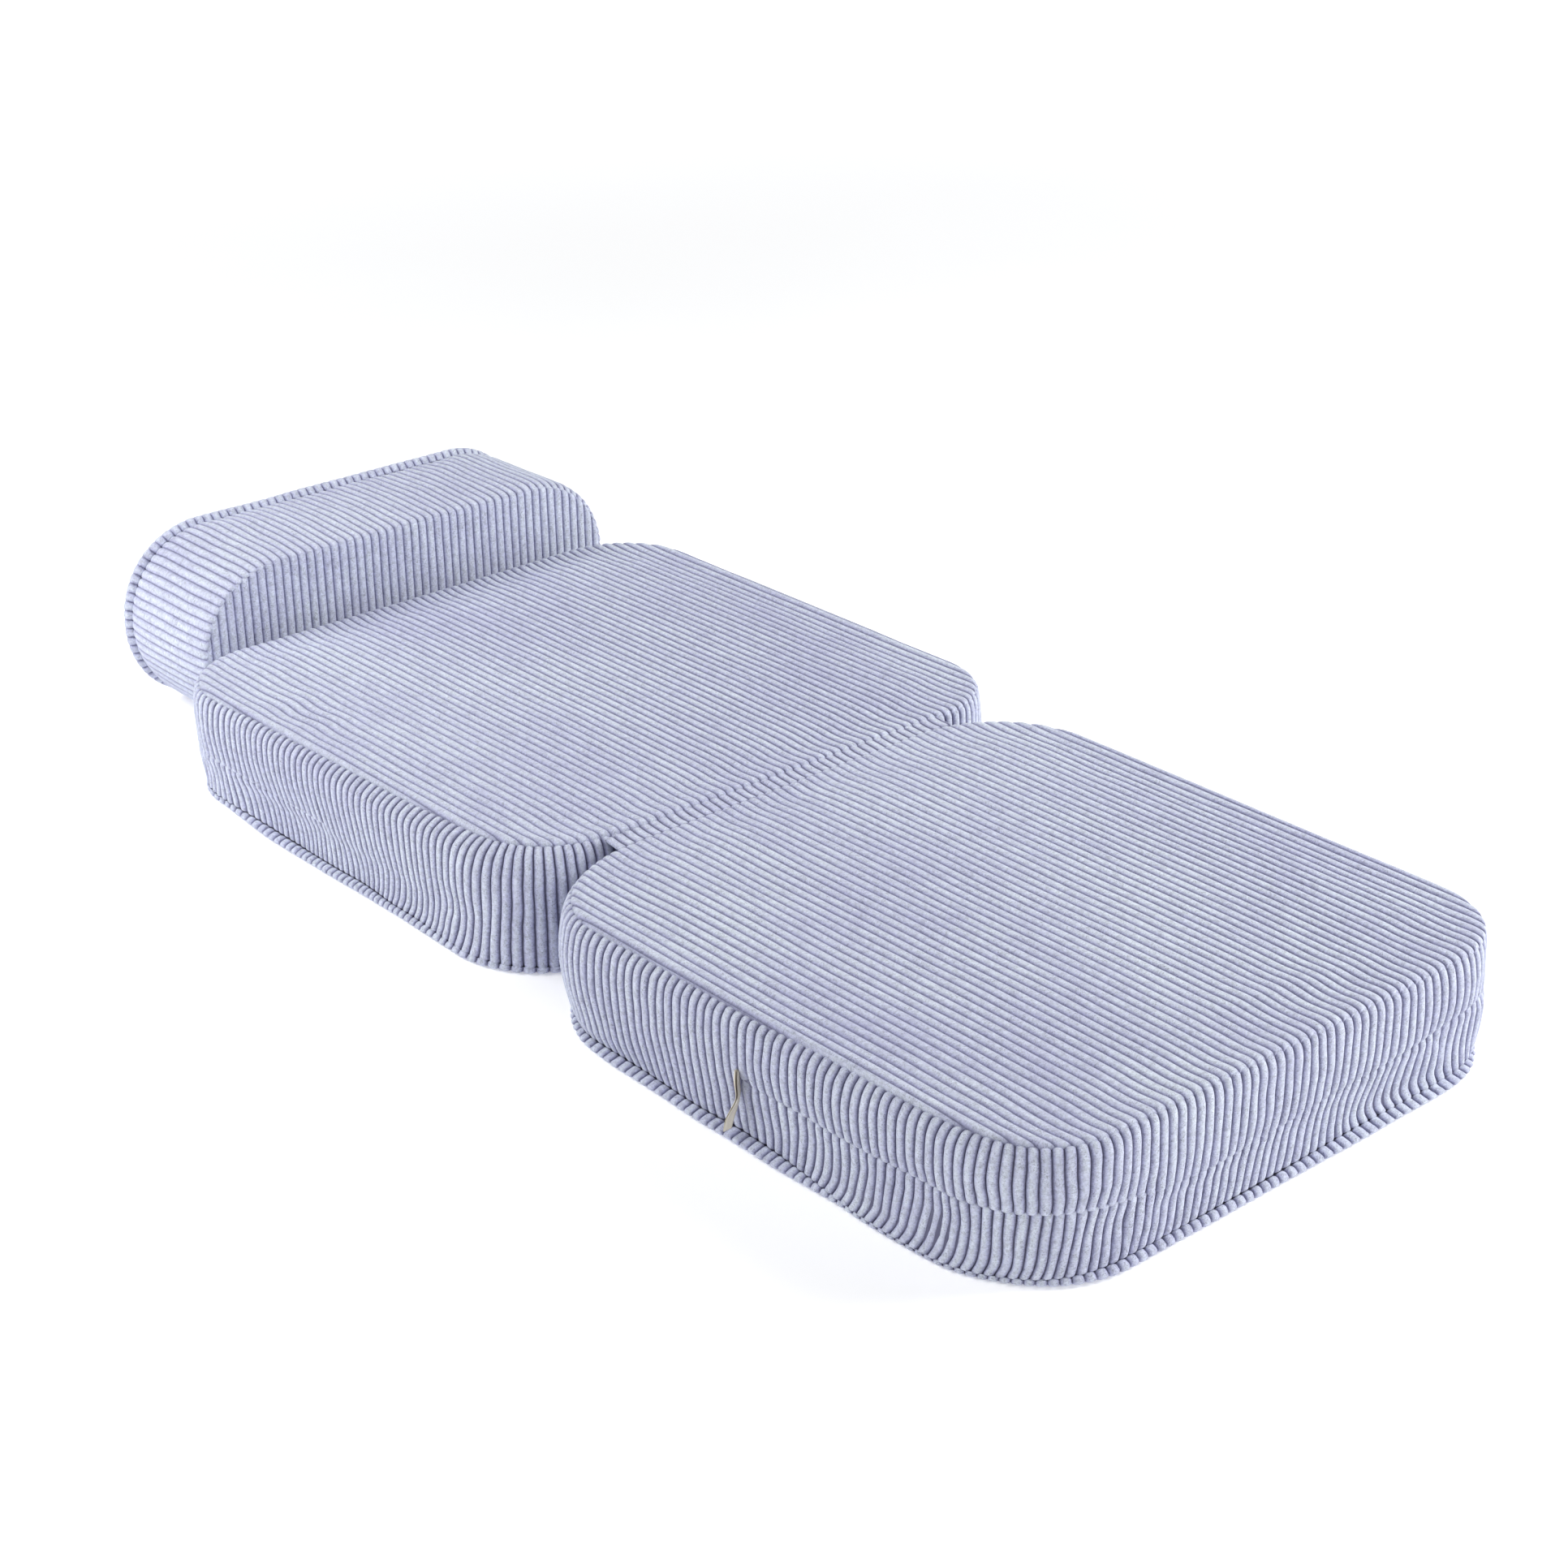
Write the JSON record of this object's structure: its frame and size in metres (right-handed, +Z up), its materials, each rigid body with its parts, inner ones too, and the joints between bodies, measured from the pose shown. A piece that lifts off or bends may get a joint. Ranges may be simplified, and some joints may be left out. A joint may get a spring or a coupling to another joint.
{
  "type": "folding foam armchair",
  "caption": "Folding foam armchair in wide-rib corduroy, laid flat: a foot block and a seat block hinged along their top edges, and a backrest bolster hinged to the seat.",
  "frame": {"origin": "middle of the unfolded part's footprint, on the floor", "axes": "+Z up, +Y from the foot block to the bolster at the head end, +X to the right of someone who looks towards the bolster"},
  "size_m": [0.6431, 1.4591, 0.199],
  "materials": {
    "corduroy": "soft pile, wide ribs of about 10 mm",
    "foam": "open-cell foam",
    "zip_tape": "woven tape with a nylon coil",
    "slider": "satin paint",
    "label": "matte woven tape, bare"
  },
  "bodies": {
    "base": {"base_foam_core": "foam", "base_bottom_panel": "corduroy", "base_top_panel": "corduroy", "base_plain_boxing": "corduroy", "base_zip_boxing_upper": "corduroy", "base_zip_boxing_lower": "corduroy", "base_zip": "zip_tape", "base_welt": "corduroy", "base_zip_slider": "slider", "side_label": "label", "top_hinge_strip": "corduroy"},
    "seat": {"seat_foam_core": "foam", "seat_bottom_panel": "corduroy", "seat_top_panel": "corduroy", "seat_plain_boxing": "corduroy", "seat_zip_boxing_upper": "corduroy", "seat_zip_boxing_lower": "corduroy", "seat_zip": "zip_tape", "seat_welt": "corduroy", "seat_zip_slider": "slider", "rear_hinge_strip": "corduroy"},
    "bolster": {"bolster_foam_core": "foam", "bolster_front_panel": "corduroy", "bolster_back_panel": "corduroy", "bolster_plain_band": "corduroy", "bolster_zip_band_front": "corduroy", "bolster_zip_band_rear": "corduroy", "bolster_zip": "zip_tape", "bolster_welt": "corduroy", "bolster_zip_slider": "slider"}
  },
  "joints": [
    {"name": "seat_fold", "type": "hinge", "parent": "base", "child": "seat", "pos_m": [0.0065, -0.08, 0.1205], "axis": [1, 0, 0], "range_deg": [0, 179.8], "deforming": ["top_hinge_strip"]},
    {"name": "bolster_fold", "type": "hinge", "parent": "seat", "child": "bolster", "pos_m": [0.0245, 0.55155, -0.0005], "axis": [-1, 0, 0], "range_deg": [0, 179.8], "deforming": ["rear_hinge_strip"]}
  ]
}
